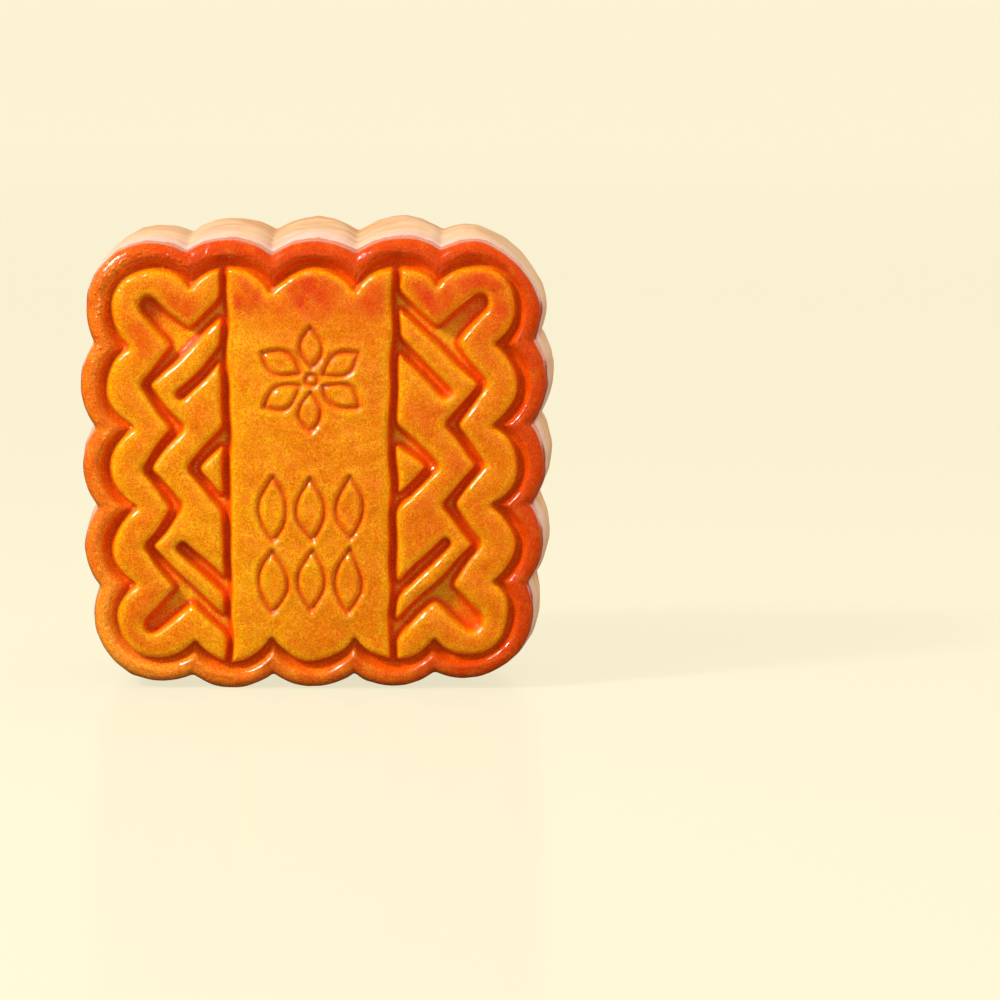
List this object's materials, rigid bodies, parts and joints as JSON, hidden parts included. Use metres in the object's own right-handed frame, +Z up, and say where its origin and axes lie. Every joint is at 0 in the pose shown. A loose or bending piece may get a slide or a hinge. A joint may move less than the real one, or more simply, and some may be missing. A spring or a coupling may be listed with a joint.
{
  "type": "mooncake",
  "caption": "Square baked mooncake with a scalloped edge, standing on its side, its face pressed with zigzag ribbons, pointed blocks and a middle panel of plain ornament.",
  "frame": {"origin": "middle of the bounding box's base, on the floor that the cake stands on", "axes": "+X across the pressed face to its right as seen from in front, +Y from the pressed face to the plain back, +Z up"},
  "size_m": [0.0772, 0.034, 0.0748],
  "materials": {
    "crust": null
  },
  "bodies": {
    "root": {"mooncake": "crust"}
  },
  "joints": []
}
